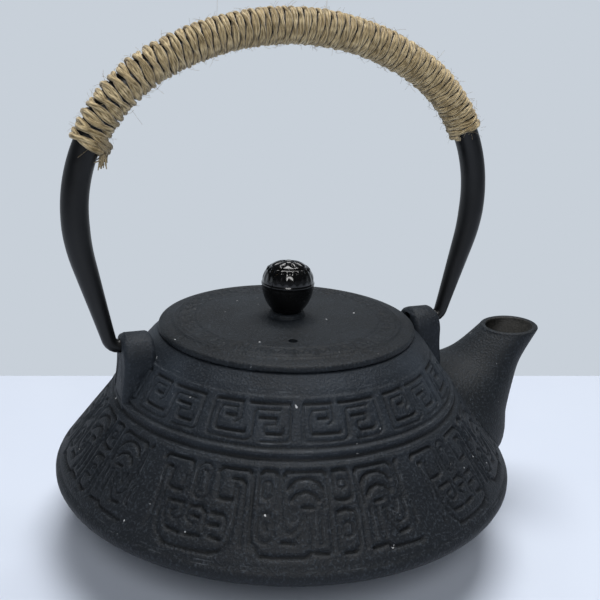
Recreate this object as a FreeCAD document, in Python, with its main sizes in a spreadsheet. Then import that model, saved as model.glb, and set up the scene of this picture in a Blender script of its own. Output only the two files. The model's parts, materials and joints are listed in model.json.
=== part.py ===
"""Cast-iron teapot with a jute-wound bail handle, a knobbed lid and a steel infuser.

Frame: millimetres, +Z up, origin at the centre of the foot on the resting surface.
The spout points along +X and the bail handle's arch lies in the XZ plane at rest.
"""
import FreeCAD, Part
import math
import os
import Sketcher

Vector = FreeCAD.Vector
ORIGIN_POINT = (-1, 1)
X_AXIS = -1
Y_AXIS = -2
START = 1
END = 2
CENTRE = 3
MATCH = 0.01

document = FreeCAD.newDocument("teapot")

# ---------------------------------------------------------------- driving dimensions
DIMENSIONS = {
    # vessel, outside
    "foot_radius": 40,
    "foot_step": 1.5,
    "edge_radius": 86.6,
    "edge_height": 27,
    "edge_round": 3.5,
    "ring_radius": 65,
    "ring_height": 54.7,
    "band_radius": 51.9,
    "band_height": 73.2,
    "land_radius": 47,
    "land_height": 78,
    "land_round": 0.8,
    # vessel, inside
    "wall": 4,
    "floor_height": 5.5,
    "inner_floor_radius": 41,
    "rebate_radius": 42,
    "rebate_depth": 0.9,
    "throat_radius": 38,
    "throat_depth": 5,
    # spout stations: places across and up, tilt in degrees, half sizes
    "spout_throat_across": 58,
    "spout_throat_up": 48,
    "spout_throat_tilt": 36,
    "spout_throat_long": 13,
    "spout_throat_wide": 13,
    "spout_root_across": 70,
    "spout_root_up": 42.2,
    "spout_root_tilt": 37,
    "spout_root_long": 27,
    "spout_root_wide": 26,
    "spout_low_across": 75.5,
    "spout_low_up": 47.5,
    "spout_low_tilt": 25,
    "spout_low_long": 22.2,
    "spout_low_wide": 21.8,
    "spout_mid_across": 83.2,
    "spout_mid_up": 53.4,
    "spout_mid_tilt": 14,
    "spout_mid_long": 17,
    "spout_mid_wide": 16.8,
    "spout_high_across": 90.3,
    "spout_high_up": 60.8,
    "spout_high_tilt": 4,
    "spout_high_long": 13.5,
    "spout_high_wide": 13.4,
    "spout_mouth_across": 98.2,
    "spout_mouth_up": 69,
    "spout_mouth_tilt": -2,
    "spout_mouth_long": 12.1,
    "spout_mouth_wide": 12,
    "spout_wall": 2.4,
    "spout_root_wall": 5,
    "spout_lip": 4,
    # lugs
    "lug_inner": 50.5,
    "lug_length": 11,
    "lug_dome_radius": 8.5,
    "lug_dome_height": 73,
    "lug_root_height": 52,
    "lug_round": 2,
    "hinge_height": 76.6,
    "lug_hole_radius": 2.6,
    # bail handle, centre line in the XZ plane
    "pin_radius": 2.3,
    "pin_tip": 54,
    "pin_tip_round": 1,
    "hook_bend": 3.6,
    "leg_lean": 15.2,
    "leg_bend": 65,
    "shoulder_bend": 55,
    "crown_bend": 94.6,
    "crown_half": 47.7,
    "bail_rise": 107.5,
    "grip_radius": 4.6,
    "neck_radius": 2.6,
    "neck_rise": 7.6,
    # twine winding
    "wrap_radius": 6.4,
    "wrap_clearance": 0.05,
    "wrap_end_rise": 69,
    # lid
    "lid_radius": 46.9,
    "lid_seat_height": 78.2,
    "lid_edge_height": 80.5,
    "lid_ridge_radius": 41,
    "lid_ridge_height": 81.5,
    "lid_centre_height": 82.6,
    "lid_boss_radius": 6.5,
    "lid_boss_height": 84,
    "lid_ceiling": 79.2,
    "lid_skirt_radius": 35.4,
    "lid_skirt_inner": 32.6,
    "lid_skirt_bottom": 72,
    "lid_edge_round": 1,
    "vent_radius": 1.4,
    "vent_across": -7.6,
    "vent_forward": -25.9,
    "stud_hole_radius": 2.3,
    # knob and its fastener
    "knob_base_radius": 5.75,
    "knob_base_height": 84.3,
    "knob_radius": 9.7,
    "knob_waist_height": 94.5,
    "knob_lower_curve": 15.14,
    "knob_upper_curve": 9.91,
    "knob_crown_radius": 5.5,
    "knob_crown_height": 102.6,
    "knob_top_height": 103.1,
    "stud_radius": 2,
    "stud_top_height": 95,
    "stud_bottom_height": 74.2,
    "washer_radius": 5,
    "washer_thickness": 0.8,
    "washer_top_height": 78.9,
    "washer_hole_radius": 2.2,
    "thread_clearance": 0.05,
    "nut_across_flats": 7,
    "nut_thickness": 3,
    # infuser
    "flange_radius": 41.5,
    "flange_thickness": 0.6,
    "flange_seat_height": 77.3,
    "collar_radius": 37.4,
    "collar_depth": 5,
    "sleeve_radius": 36.8,
    "sleeve_wall": 0.5,
    "sleeve_bottom": 38,
    "strainer_hole_radius": 1.5,
    "strainer_row_pitch": 6,
    "strainer_first_row": 43,
    "floor_thickness": 0.5,
    "floor_row_pitch": 7.5,
}

sheet = document.addObject("Spreadsheet::Sheet", "sizes")
for row_number, (alias, value) in enumerate(DIMENSIONS.items(), start=1):
    sheet.set(f"A{row_number}", alias)
    sheet.set(f"B{row_number}", str(value))
    sheet.setAlias(f"B{row_number}", alias)
document.recompute()


def size(expression):
    """The value of an expression on the sheet, such as "sizes.foot_radius + 2"."""
    return float(sheet.evalExpression(expression))


# ---------------------------------------------------------------- helpers
def new_body(name):
    """An empty PartDesign body."""
    body = document.addObject("PartDesign::Body", name)
    body.Label = name
    return body


def origin_part(body, role):
    """One of the body's own origin planes or axes, such as XY_Plane or Z_Axis."""
    return next(item for item in body.Origin.OriginFeatures if item.Role == role)


def new_sketch(body, name, role, offset=None, lean=None):
    """A sketch on an origin plane of its own body.

    offset gives expressions for the sketch's place in the plane's own frame, and lean
    an expression for its turn about the Y axis, in degrees.
    """
    sketch = body.newObject("Sketcher::SketchObject", name)
    sketch.AttachmentSupport = [(origin_part(body, role), "")]
    sketch.MapMode = "FlatFace"
    if lean:
        tilted = FreeCAD.Rotation(Vector(0, 1, 0), 1)
        sketch.AttachmentOffset = FreeCAD.Placement(Vector(), tilted)
        sketch.setExpression(".AttachmentOffset.Rotation.Angle", lean)
    for axis, expression in (offset or {}).items():
        sketch.setExpression(f".AttachmentOffset.Base.{axis}", expression)
    return sketch


def place_point(sketch, point, across, up):
    """Pin a sketch point at two expressions; "0" puts it on an axis."""
    for kind, axis, expression in (("DistanceX", Y_AXIS, across), ("DistanceY", X_AXIS, up)):
        if expression == "0":
            sketch.addConstraint(Sketcher.Constraint("PointOnObject", *point, axis))
            continue
        distance = Sketcher.Constraint(kind, *ORIGIN_POINT, *point, size(expression))
        index = sketch.addConstraint(distance)
        sketch.setExpression(f"Constraints[{index}]", expression)


def set_radius(sketch, curve, expression):
    """Tie the radius of an arc or circle to the sheet."""
    index = sketch.addConstraint(Sketcher.Constraint("Radius", curve, size(expression)))
    sketch.setExpression(f"Constraints[{index}]", expression)


def add_arc(sketch, begin, finish, radius_expression):
    """An arc between two points that bulges to the right of the way from begin to finish."""
    radius = size(radius_expression)
    chord = finish - begin
    middle = (begin + finish) * 0.5
    left = Vector(-chord.y, chord.x, 0).normalize()
    reach = math.sqrt(max(0, radius ** 2 - (chord.Length / 2) ** 2))
    centre = middle + left * reach
    from_angle = math.atan2(begin.y - centre.y, begin.x - centre.x)
    to_angle = math.atan2(finish.y - centre.y, finish.x - centre.x)
    if to_angle < from_angle:
        to_angle += 2 * math.pi
    circle = Part.Circle(centre, Vector(0, 0, 1), radius)
    return sketch.addGeometry(Part.ArcOfCircle(circle, from_angle, to_angle), False)


def draw_outline(sketch, corners, arcs=None, closed=True):
    """An outline through corners given as (across, up) expressions.

    arcs maps the number of a side to the radius of the arc that takes the line's place.
    """
    arcs = arcs or {}
    points = [Vector(size(across), size(up), 0) for across, up in corners]
    ends = points[1:] + points[:1] if closed else points[1:]
    sides = []
    for number, (begin, finish) in enumerate(zip(points, ends)):
        if number in arcs:
            sides.append(add_arc(sketch, begin, finish, arcs[number]))
        else:
            sides.append(sketch.addGeometry(Part.LineSegment(begin, finish), False))
    followers = sides[1:] + sides[:1] if closed else sides[1:]
    for side, follower in zip(sides, followers):
        sketch.addConstraint(Sketcher.Constraint("Coincident", side, END, follower, START))
    for side, (across, up) in zip(sides, corners):
        place_point(sketch, (side, START), across, up)
    if not closed:
        place_point(sketch, (sides[-1], END), *corners[-1])
    for number, radius_expression in arcs.items():
        if math.isclose(2 * size(radius_expression), (ends[number] - points[number]).Length):
            continue
        set_radius(sketch, sides[number], radius_expression)
    document.recompute()


def draw_circle(sketch, across, up, radius_expression):
    """A circle whose centre and radius follow the sheet."""
    centre = Vector(size(across), size(up), 0)
    circle = Part.Circle(centre, Vector(0, 0, 1), size(radius_expression))
    curve = sketch.addGeometry(circle, False)
    set_radius(sketch, curve, radius_expression)
    place_point(sketch, (curve, CENTRE), across, up)


def revolve(body, name, corners, arcs=None):
    """A full turn about Z of an outline drawn in the XZ plane."""
    sketch = new_sketch(body, f"{name}_outline", "XZ_Plane")
    draw_outline(sketch, corners, arcs)
    feature = body.newObject("PartDesign::Revolution", f"{name}_turned")
    feature.Profile = sketch
    feature.ReferenceAxis = (sketch, ["V_Axis"])
    feature.Angle = 360
    document.recompute()


def round_edges(body, name, belongs, radius_expression):
    """Fillet the edges of the body that belongs picks."""
    edges = enumerate(body.Shape.Edges, start=1)
    names = [f"Edge{number}" for number, edge in edges if belongs(edge)]
    base = body.Tip
    feature = body.newObject("PartDesign::Fillet", name)
    feature.Base = (base, names)
    feature.Radius = size(radius_expression)
    feature.setExpression("Radius", radius_expression)
    document.recompute()
    if not names or "Invalid" in feature.State:
        raise RuntimeError(f"{name} rounds nothing")


def is_circle(radius, across, up):
    """A test for circular edges of one radius whose centre lies at (across, any y, up)."""
    wanted = (size(radius), size(across), size(up))

    def belongs(edge):
        if not isinstance(edge.Curve, Part.Circle):
            return False
        centre = edge.Curve.Center
        found = (edge.Curve.Radius, centre.x, centre.z)
        return all(abs(have - want) < MATCH for have, want in zip(found, wanted))

    return belongs


def set_length(feature, expression):
    """Tie a pad's or pocket's length to the sheet."""
    feature.Length = size(expression)
    feature.setExpression("Length", expression)


def pad(body, name, sketch, length_expression):
    """A pad along the sketch's normal."""
    feature = body.newObject("PartDesign::Pad", name)
    feature.Profile = sketch
    set_length(feature, length_expression)
    document.recompute()


def pocket(body, name, sketch, length_expression, both_ways=False, against=False):
    """A pocket that must remove something from the body."""
    before = body.Shape.Volume
    feature = body.newObject("PartDesign::Pocket", name)
    feature.Profile = sketch
    feature.Midplane = both_ways
    feature.Reversed = against
    set_length(feature, length_expression)
    document.recompute()
    removed = before - body.Shape.Volume
    print(f"{name} removes {removed:.1f} mm3")
    if removed < MATCH:
        raise RuntimeError(f"{name} cuts nothing")
    return feature


def repeat_round(body, name, feature, count):
    """Repeat a feature around the Z axis."""
    pattern = body.newObject("PartDesign::PolarPattern", name)
    pattern.Originals = [feature]
    pattern.Axis = (origin_part(body, "Z_Axis"), [""])
    pattern.Angle = 360
    pattern.Occurrences = count
    body.Tip = pattern
    document.recompute()


def mirror_across(body, name, features):
    """Mirror features to the other side of the YZ plane."""
    mirrored = body.newObject("PartDesign::Mirrored", name)
    mirrored.Originals = features
    mirrored.MirrorPlane = (origin_part(body, "YZ_Plane"), [""])
    body.Tip = mirrored
    document.recompute()


def cut(name, base, tool):
    """base minus tool, as one document object."""
    result = document.addObject("Part::Cut", name)
    result.Label = name
    result.Base = base
    result.Tool = tool
    document.recompute()
    return result


# ---------------------------------------------------------------- vessel
FOOT = [
    ("0", "0"),
    ("sizes.foot_radius", "0"),
    ("sizes.foot_radius", "sizes.foot_step"),
]
CONE = [
    ("sizes.edge_radius", "sizes.edge_height"),
    ("sizes.ring_radius", "sizes.ring_height"),
    ("sizes.band_radius", "sizes.band_height"),
    ("sizes.land_radius", "sizes.land_height"),
]
CAVITY = [
    ("sizes.rebate_radius", "sizes.land_height"),
    ("sizes.rebate_radius", "sizes.land_height - sizes.rebate_depth"),
    ("sizes.throat_radius", "sizes.land_height - sizes.rebate_depth"),
    ("sizes.throat_radius", "sizes.land_height - sizes.throat_depth"),
    ("sizes.band_radius - 0.95 * sizes.wall", "sizes.band_height - 0.5 * sizes.wall"),
    ("sizes.ring_radius - 0.8 * sizes.wall", "sizes.ring_height - 0.6 * sizes.wall"),
    ("sizes.edge_radius - 1.5 * sizes.wall", "sizes.edge_height"),
    ("sizes.inner_floor_radius", "sizes.floor_height"),
    ("0", "sizes.floor_height"),
]


def round_vessel_edge(body):
    """Round the vessel's widest edge."""
    edge = is_circle("sizes.edge_radius", "0", "sizes.edge_height")
    round_edges(body, f"{body.Name}_edge_round", edge, "sizes.edge_round")


def make_vessel_blank():
    """The turned vessel before the spout's channel is opened."""
    body = new_body("vessel_blank")
    revolve(body, "vessel", FOOT + CONE + CAVITY)
    round_vessel_edge(body)
    land = is_circle("sizes.land_radius", "0", "sizes.land_height")
    round_edges(body, "vessel_land_round", land, "sizes.land_round")
    return body


def make_vessel_fill():
    """The vessel's outside as a full solid, which trims the spout and the lugs."""
    body = new_body("vessel_fill")
    top = [("0", "sizes.land_height")]
    revolve(body, "fill", FOOT + CONE + top)
    round_vessel_edge(body)
    return body


# ---------------------------------------------------------------- spout
def spout_ring(name, station, inset="0", lift="0"):
    """An ellipse across the spout at one station, made smaller by inset and raised by lift."""
    ring = document.addObject("Part::Ellipse", name)
    station_sizes = f"sizes.spout_{station}"
    ring.MajorRadius = size(f"{station_sizes}_long - {inset}") + 1
    ring.MinorRadius = size(f"{station_sizes}_long - {inset}")
    ring.setExpression("MajorRadius", f"{station_sizes}_long - {inset}")
    ring.setExpression("MinorRadius", f"{station_sizes}_wide - {inset}")
    ring.Placement = FreeCAD.Placement(Vector(), FreeCAD.Rotation(Vector(0, 1, 0), 1))
    ring.setExpression(".Placement.Rotation.Angle", f"{station_sizes}_tilt")
    ring.setExpression(".Placement.Base.x", f"{station_sizes}_across")
    ring.setExpression(".Placement.Base.z", f"{station_sizes}_up + {lift}")
    return ring


def loft(name, rings):
    """A solid through a row of closed rings."""
    result = document.addObject("Part::Loft", name)
    result.Sections = rings
    result.Solid = True
    document.recompute()
    return result


def make_spout(fill):
    """The spout's shell, trimmed to the vessel's outside, and the channel through it."""
    stations = ["root", "low", "mid", "high", "mouth"]
    outer_rings = [spout_ring(f"outer_{station}", station) for station in stations]
    wall = "sizes.spout_wall"
    channel_rings = [
        spout_ring("channel_throat", "throat"),
        spout_ring("channel_low", "low", "sizes.spout_root_wall"),
        spout_ring("channel_mid", "mid", wall),
        spout_ring("channel_high", "high", wall),
        spout_ring("channel_mouth", "mouth", wall),
        spout_ring("channel_lip", "mouth", wall, "sizes.spout_lip"),
    ]
    outer = loft("spout_outer", outer_rings)
    channel = loft("spout_channel", channel_rings)
    hollow = cut("spout_hollow", outer, channel)
    return cut("spout", hollow, fill), channel


# ---------------------------------------------------------------- lugs
LUG_OUTLINE = [
    ("sizes.lug_dome_radius", "sizes.lug_root_height"),
    ("sizes.lug_dome_radius", "sizes.lug_dome_height"),
    ("-sizes.lug_dome_radius", "sizes.lug_dome_height"),
    ("-sizes.lug_dome_radius", "sizes.lug_root_height"),
]
LUG_DOME_SIDE = 1


def make_lug(name, near_expression, fill):
    """An upright ear with a domed top and a cross hole for the bail's pin."""
    body = new_body(f"{name}_blank")
    outline = new_sketch(body, f"{name}_outline", "YZ_Plane", {"z": near_expression})
    draw_outline(outline, LUG_OUTLINE, {LUG_DOME_SIDE: "sizes.lug_dome_radius"})
    pad(body, f"{name}_pad", outline, "sizes.lug_length")
    root = size("sizes.lug_root_height")

    def on_rim(edge):
        box = edge.BoundBox
        return box.XLength < MATCH and box.ZMax > root + MATCH

    round_edges(body, f"{name}_round", on_rim, "sizes.lug_round")
    hole = new_sketch(body, f"{name}_hole_outline", "YZ_Plane", {"z": near_expression})
    draw_circle(hole, "0", "sizes.hinge_height", "sizes.lug_hole_radius")
    pocket(body, f"{name}_hole", hole, "sizes.lug_length", against=True)
    return cut(name, body, fill)


# ---------------------------------------------------------------- bail handle
CROWN_SINE = "(sizes.crown_half / sizes.crown_bend)"
CROWN_COSINE = f"sqrt(1 - {CROWN_SINE} * {CROWN_SINE})"
CROWN_CENTRE_UP = "sizes.hinge_height + sizes.bail_rise - sizes.crown_bend"
SHOULDER_CENTRE = (
    f"(sizes.crown_bend - sizes.shoulder_bend) * {CROWN_SINE}",
    f"({CROWN_CENTRE_UP} + (sizes.crown_bend - sizes.shoulder_bend) * {CROWN_COSINE})",
)
LEAN_SINE = "sin(sizes.leg_lean * 1 deg)"
LEAN_COSINE = "cos(sizes.leg_lean * 1 deg)"
LEAN_TANGENT = "tan(sizes.leg_lean * 1 deg)"
APEX = ("0", "sizes.hinge_height + sizes.bail_rise")
CROWN_END = ("sizes.crown_half", f"{CROWN_CENTRE_UP} + sizes.crown_bend * {CROWN_COSINE}")
SHOULDER_END = (f"({SHOULDER_CENTRE[0]} + sizes.shoulder_bend)", SHOULDER_CENTRE[1])
LEG_TOP = (
    f"({SHOULDER_END[0]} - sizes.leg_bend * (1 - {LEAN_COSINE}))",
    f"({SHOULDER_END[1]} - sizes.leg_bend * {LEAN_SINE})",
)
LEG_FOOT_ACROSS = f"({LEG_TOP[0]} - ({LEG_TOP[1]} - sizes.hinge_height) * {LEAN_TANGENT})"
HOOK_TANGENT = "(sizes.hook_bend * tan((90 - sizes.leg_lean) * 0.5 deg))"
HOOK_TOP = (
    f"{LEG_FOOT_ACROSS} + {HOOK_TANGENT} * {LEAN_SINE}",
    f"sizes.hinge_height + {HOOK_TANGENT} * {LEAN_COSINE}",
)
HOOK_START = (f"{LEG_FOOT_ACROSS} - {HOOK_TANGENT}", "sizes.hinge_height")
PIN_TIP = ("sizes.pin_tip", "sizes.hinge_height")
NECK_ACROSS = f"{LEG_FOOT_ACROSS} + sizes.neck_rise * {LEAN_TANGENT}"
NECK_UP = "sizes.hinge_height + sizes.neck_rise"
WRAP_END_UP = "sizes.hinge_height + sizes.wrap_end_rise"
WRAP_SINE = f"(({WRAP_END_UP} - {SHOULDER_CENTRE[1]}) / sizes.shoulder_bend)"
WRAP_END = (
    f"{SHOULDER_CENTRE[0]} + sizes.shoulder_bend * sqrt(1 - {WRAP_SINE} * {WRAP_SINE})",
    WRAP_END_UP,
)


def sweep(body, name, profile, spine, sections=None):
    """A pipe along a spine, through further sections if there are any."""
    feature = body.newObject("PartDesign::AdditivePipe", name)
    feature.Profile = profile
    feature.Spine = spine
    if sections:
        feature.Transformation = "Multisection"
        feature.Sections = sections
    document.recompute()
    return feature


def make_bail():
    """Half of the bent bar, from the pin's tip to the apex, mirrored to the other side."""
    body = new_body("bail")
    leg_line = new_sketch(body, "leg_line", "XZ_Plane")
    leg_points = [PIN_TIP, HOOK_START, HOOK_TOP, LEG_TOP, SHOULDER_END]
    leg_bends = {1: "sizes.hook_bend", 3: "sizes.leg_bend"}
    draw_outline(leg_line, leg_points, leg_bends, closed=False)
    arch_line = new_sketch(body, "arch_line", "XZ_Plane")
    arch_bends = {0: "sizes.shoulder_bend", 1: "sizes.crown_bend"}
    draw_outline(arch_line, [SHOULDER_END, CROWN_END, APEX], arch_bends, closed=False)
    tip = new_sketch(body, "pin_tip_circle", "YZ_Plane", {"z": "sizes.pin_tip"})
    draw_circle(tip, "0", "sizes.hinge_height", "sizes.pin_radius")
    neck_place = {"x": NECK_ACROSS, "z": NECK_UP}
    neck = new_sketch(body, "neck_circle", "XY_Plane", neck_place, "sizes.leg_lean")
    draw_circle(neck, "0", "0", "sizes.neck_radius")
    shoulder = new_sketch(body, "shoulder_circle", "XY_Plane", {"z": SHOULDER_END[1]})
    draw_circle(shoulder, SHOULDER_END[0], "0", "sizes.grip_radius")
    apex = new_sketch(body, "apex_circle", "YZ_Plane")
    draw_circle(apex, *APEX, "sizes.grip_radius")
    leg = sweep(body, "bail_leg", tip, leg_line, [neck, shoulder])
    arch = sweep(body, "bail_arch", apex, arch_line)
    mirror_across(body, "bail_halves", [leg, arch])
    tip_x = size("sizes.pin_tip")

    def on_tip(edge):
        box = edge.BoundBox
        return box.XLength < MATCH and abs(abs(box.XMax) - tip_x) < MATCH

    round_edges(body, "pin_tip_round", on_tip, "sizes.pin_tip_round")
    return body


def make_jute_wrap():
    """The twine winding's outer form, a sleeve round the top of the bar."""
    body = new_body("jute_wrap")
    spine = new_sketch(body, "wrap_line", "XZ_Plane")
    bends = {0: "sizes.shoulder_bend", 1: "sizes.crown_bend"}
    draw_outline(spine, [WRAP_END, CROWN_END, APEX], bends, closed=False)
    end_place = {"x": WRAP_END[0], "z": WRAP_END[1]}
    ring = new_sketch(body, "wrap_ring", "XY_Plane", end_place, f"-asin({WRAP_SINE})")
    draw_circle(ring, "0", "0", "sizes.wrap_radius")
    draw_circle(ring, "0", "0", "sizes.grip_radius + sizes.wrap_clearance")
    half = sweep(body, "wrap_half", ring, spine)
    mirror_across(body, "wrap_halves", [half])
    return body


# ---------------------------------------------------------------- lid
def make_lid():
    """A slightly domed disc with a locating skirt, a knob boss and a steam hole."""
    body = new_body("lid")
    outline = [
        ("sizes.stud_hole_radius", "sizes.lid_ceiling"),
        ("sizes.lid_skirt_inner", "sizes.lid_ceiling"),
        ("sizes.lid_skirt_inner", "sizes.lid_skirt_bottom"),
        ("sizes.lid_skirt_radius", "sizes.lid_skirt_bottom"),
        ("sizes.lid_skirt_radius", "sizes.lid_seat_height"),
        ("sizes.lid_radius", "sizes.lid_seat_height"),
        ("sizes.lid_radius", "sizes.lid_edge_height"),
        ("sizes.lid_ridge_radius", "sizes.lid_ridge_height"),
        ("sizes.lid_boss_radius", "sizes.lid_centre_height"),
        ("sizes.lid_boss_radius", "sizes.lid_boss_height"),
        ("sizes.stud_hole_radius", "sizes.lid_boss_height"),
    ]
    revolve(body, "lid", outline)
    rim = is_circle("sizes.lid_radius", "0", "sizes.lid_edge_height")
    round_edges(body, "lid_rim_round", rim, "sizes.lid_edge_round")
    vent = new_sketch(body, "vent_outline", "XY_Plane", {"z": "sizes.lid_ceiling"})
    draw_circle(vent, "sizes.vent_across", "sizes.vent_forward", "sizes.vent_radius")
    vent_length = "2 * (sizes.lid_boss_height - sizes.lid_ceiling)"
    pocket(body, "vent_hole", vent, vent_length, both_ways=True)
    return body


# ---------------------------------------------------------------- knob and its fastener
def make_knob():
    """A turned knob with a blind hole for its stud."""
    body = new_body("knob")
    hole = "sizes.stud_radius + sizes.thread_clearance"
    outline = [
        (hole, "sizes.knob_base_height"),
        ("sizes.knob_base_radius", "sizes.knob_base_height"),
        ("sizes.knob_radius", "sizes.knob_waist_height"),
        ("sizes.knob_crown_radius", "sizes.knob_crown_height"),
        ("0", "sizes.knob_top_height"),
        ("0", "sizes.stud_top_height"),
        (hole, "sizes.stud_top_height"),
    ]
    curves = {1: "sizes.knob_lower_curve", 2: "sizes.knob_upper_curve"}
    revolve(body, "knob", outline, curves)
    return body


def make_turned_rod(name, radius, bottom, top):
    """A plain round rod on the Z axis."""
    body = new_body(name)
    revolve(body, name, [("0", bottom), (radius, bottom), (radius, top), ("0", top)])
    return body


def make_turned_ring(name, inner, outer, bottom, top):
    """A plain flat ring on the Z axis."""
    body = new_body(name)
    revolve(body, name, [(inner, bottom), (outer, bottom), (outer, top), (inner, top)])
    return body


def make_nut():
    """A hexagonal nut under the lid, on the knob's stud."""
    nut_top = "sizes.washer_top_height - sizes.washer_thickness"
    blank = document.addObject("Part::Prism", "nut_blank")
    blank.Polygon = 6
    blank.setExpression("Circumradius", "sizes.nut_across_flats / sqrt(3)")
    blank.setExpression("Height", "sizes.nut_thickness")
    blank.setExpression(".Placement.Base.z", f"{nut_top} - sizes.nut_thickness")
    bore = document.addObject("Part::Cylinder", "nut_bore")
    bore.setExpression("Radius", "sizes.stud_radius + sizes.thread_clearance")
    bore.setExpression("Height", "3 * sizes.nut_thickness")
    bore.setExpression(".Placement.Base.z", f"{nut_top} - 2 * sizes.nut_thickness")
    return cut("knob_nut", blank, bore)


# ---------------------------------------------------------------- infuser
FLANGE_TOP = "sizes.flange_seat_height + sizes.flange_thickness"
SLEEVE_INSIDE = "sizes.sleeve_radius - sizes.sleeve_wall"
SLEEVE_HOLES_ROUND = 24
SLEEVE_ROWS = 5
FLOOR_HOLES_ROUND = 12
FLOOR_ROWS = 4


def make_infuser_rim():
    """The flange that hangs in the vessel's rebate, with a collar round the sleeve."""
    body = new_body("infuser_rim")
    outline = [
        ("sizes.sleeve_radius", FLANGE_TOP),
        ("sizes.flange_radius", FLANGE_TOP),
        ("sizes.flange_radius", "sizes.flange_seat_height"),
        ("sizes.collar_radius", "sizes.flange_seat_height"),
        ("sizes.collar_radius", "sizes.flange_seat_height - sizes.collar_depth"),
        ("sizes.sleeve_radius", "sizes.flange_seat_height - sizes.collar_depth"),
    ]
    revolve(body, "infuser_rim", outline)
    return body


def make_infuser_sleeve():
    """The basket's thin wall with rows of strainer holes."""
    sleeve = ("sizes.sleeve_bottom", FLANGE_TOP)
    body = make_turned_ring("infuser_sleeve", SLEEVE_INSIDE, "sizes.sleeve_radius", *sleeve)
    rows = new_sketch(body, "sleeve_hole_column", "XZ_Plane")
    for row in range(SLEEVE_ROWS):
        up = f"sizes.strainer_first_row + {row} * sizes.strainer_row_pitch"
        draw_circle(rows, "0", up, "sizes.strainer_hole_radius")
    column = pocket(body, "sleeve_column", rows, "sizes.flange_radius", against=True)
    repeat_round(body, "sleeve_columns", column, SLEEVE_HOLES_ROUND)
    return body


def make_infuser_floor():
    """The basket's flat floor with rings of strainer holes."""
    body = new_body("infuser_floor")
    floor_top = "sizes.sleeve_bottom + sizes.floor_thickness"
    outline = [
        ("0", "sizes.sleeve_bottom"),
        (SLEEVE_INSIDE, "sizes.sleeve_bottom"),
        (SLEEVE_INSIDE, floor_top),
        ("0", floor_top),
    ]
    revolve(body, "infuser_floor", outline)
    spoke = new_sketch(body, "floor_hole_row", "XY_Plane", {"z": "sizes.sleeve_bottom"})
    for row in range(1, FLOOR_ROWS + 1):
        draw_circle(spoke, f"{row} * sizes.floor_row_pitch", "0", "sizes.strainer_hole_radius")
    spoke_holes = pocket(body, "floor_spoke", spoke, "4 * sizes.floor_thickness", both_ways=True)
    repeat_round(body, "floor_spokes", spoke_holes, FLOOR_HOLES_ROUND)
    return body


# ---------------------------------------------------------------- assembly
def make_teapot():
    """Every sub-part, in its place."""
    blank = make_vessel_blank()
    fill = make_vessel_fill()
    spout, channel = make_spout(fill)
    washer_bottom = "sizes.washer_top_height - sizes.washer_thickness"
    return [
        cut("pot_body", blank, channel),
        spout,
        make_lug("lug_right", "sizes.lug_inner", fill),
        make_lug("lug_left", "-sizes.lug_inner - sizes.lug_length", fill),
        make_bail(),
        make_jute_wrap(),
        make_lid(),
        make_knob(),
        make_turned_rod(
            "knob_stud", "sizes.stud_radius", "sizes.stud_bottom_height", "sizes.stud_top_height"
        ),
        make_turned_ring(
            "knob_washer",
            "sizes.washer_hole_radius",
            "sizes.washer_radius",
            washer_bottom,
            "sizes.washer_top_height",
        ),
        make_nut(),
        make_infuser_rim(),
        make_infuser_sleeve(),
        make_infuser_floor(),
    ]


def check_document():
    """Stop if any object of the document failed to recompute."""
    for item in document.Objects:
        if "Invalid" in item.State or "Error" in item.State:
            raise RuntimeError(f"{item.Name} failed: {item.State}")


def write_steps(sub_parts):
    """Check each sub-part's shape and write it to its own file."""
    os.makedirs("parts", exist_ok=True)
    for item in sub_parts:
        shape = item.Shape
        if shape.isNull() or not shape.isValid() or not shape.Solids:
            raise RuntimeError(f"{item.Label} has no valid solid")
        box = shape.BoundBox
        print(
            f"{item.Label:15} {len(shape.Solids)} solid, {shape.Volume / 1000:8.2f} cm3, "
            f"x {box.XMin:.1f}..{box.XMax:.1f} y {box.YMin:.1f}..{box.YMax:.1f} "
            f"z {box.ZMin:.1f}..{box.ZMax:.1f}"
        )
        shape.exportStep(os.path.join("parts", f"{item.Label}.step"))


parts = make_teapot()
document.recompute()
check_document()
write_steps(parts)
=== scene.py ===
# %% [markdown]
# # A cast-iron teapot with a jute-wound bail handle
# The pot is a wide, low iron casting with a key band and panels of scrollwork in relief. The
# CAD model already settles every size and every joint, so this script only makes the looks:
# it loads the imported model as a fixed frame, and builds finer pieces in the same places.

# %% Load the CAD frame
import json
import math

import bmesh
import bpy
import numpy as np
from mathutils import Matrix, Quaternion, Vector


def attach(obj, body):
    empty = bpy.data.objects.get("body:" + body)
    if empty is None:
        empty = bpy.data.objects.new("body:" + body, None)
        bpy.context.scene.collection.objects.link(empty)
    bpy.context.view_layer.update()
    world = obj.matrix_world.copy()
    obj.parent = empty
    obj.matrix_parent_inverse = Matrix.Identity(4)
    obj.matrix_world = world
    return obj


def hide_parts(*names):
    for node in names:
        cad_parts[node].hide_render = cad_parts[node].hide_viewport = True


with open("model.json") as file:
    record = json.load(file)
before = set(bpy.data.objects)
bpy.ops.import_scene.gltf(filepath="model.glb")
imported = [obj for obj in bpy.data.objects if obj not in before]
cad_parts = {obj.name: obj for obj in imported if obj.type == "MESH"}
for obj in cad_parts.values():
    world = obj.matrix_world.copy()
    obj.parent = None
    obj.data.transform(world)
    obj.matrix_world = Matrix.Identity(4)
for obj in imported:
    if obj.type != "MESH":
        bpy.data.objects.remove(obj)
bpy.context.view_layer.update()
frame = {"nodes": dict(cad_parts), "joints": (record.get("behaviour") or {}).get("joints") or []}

MM = 0.001


def new_object(name, data):
    """An object at the origin, linked to the scene."""
    made = bpy.data.objects.new(name, data)
    bpy.context.collection.objects.link(made)
    return made


# %% [markdown]
# ## Camera
# A product picture of a pot is taken from a little above the lid, so that the lid's top and
# the band of ornament are both seen. A lens of about 50 mm keeps the ellipses natural. The
# small roll and the small sideways shift frame the pot the way a hand-held picture does.

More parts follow.
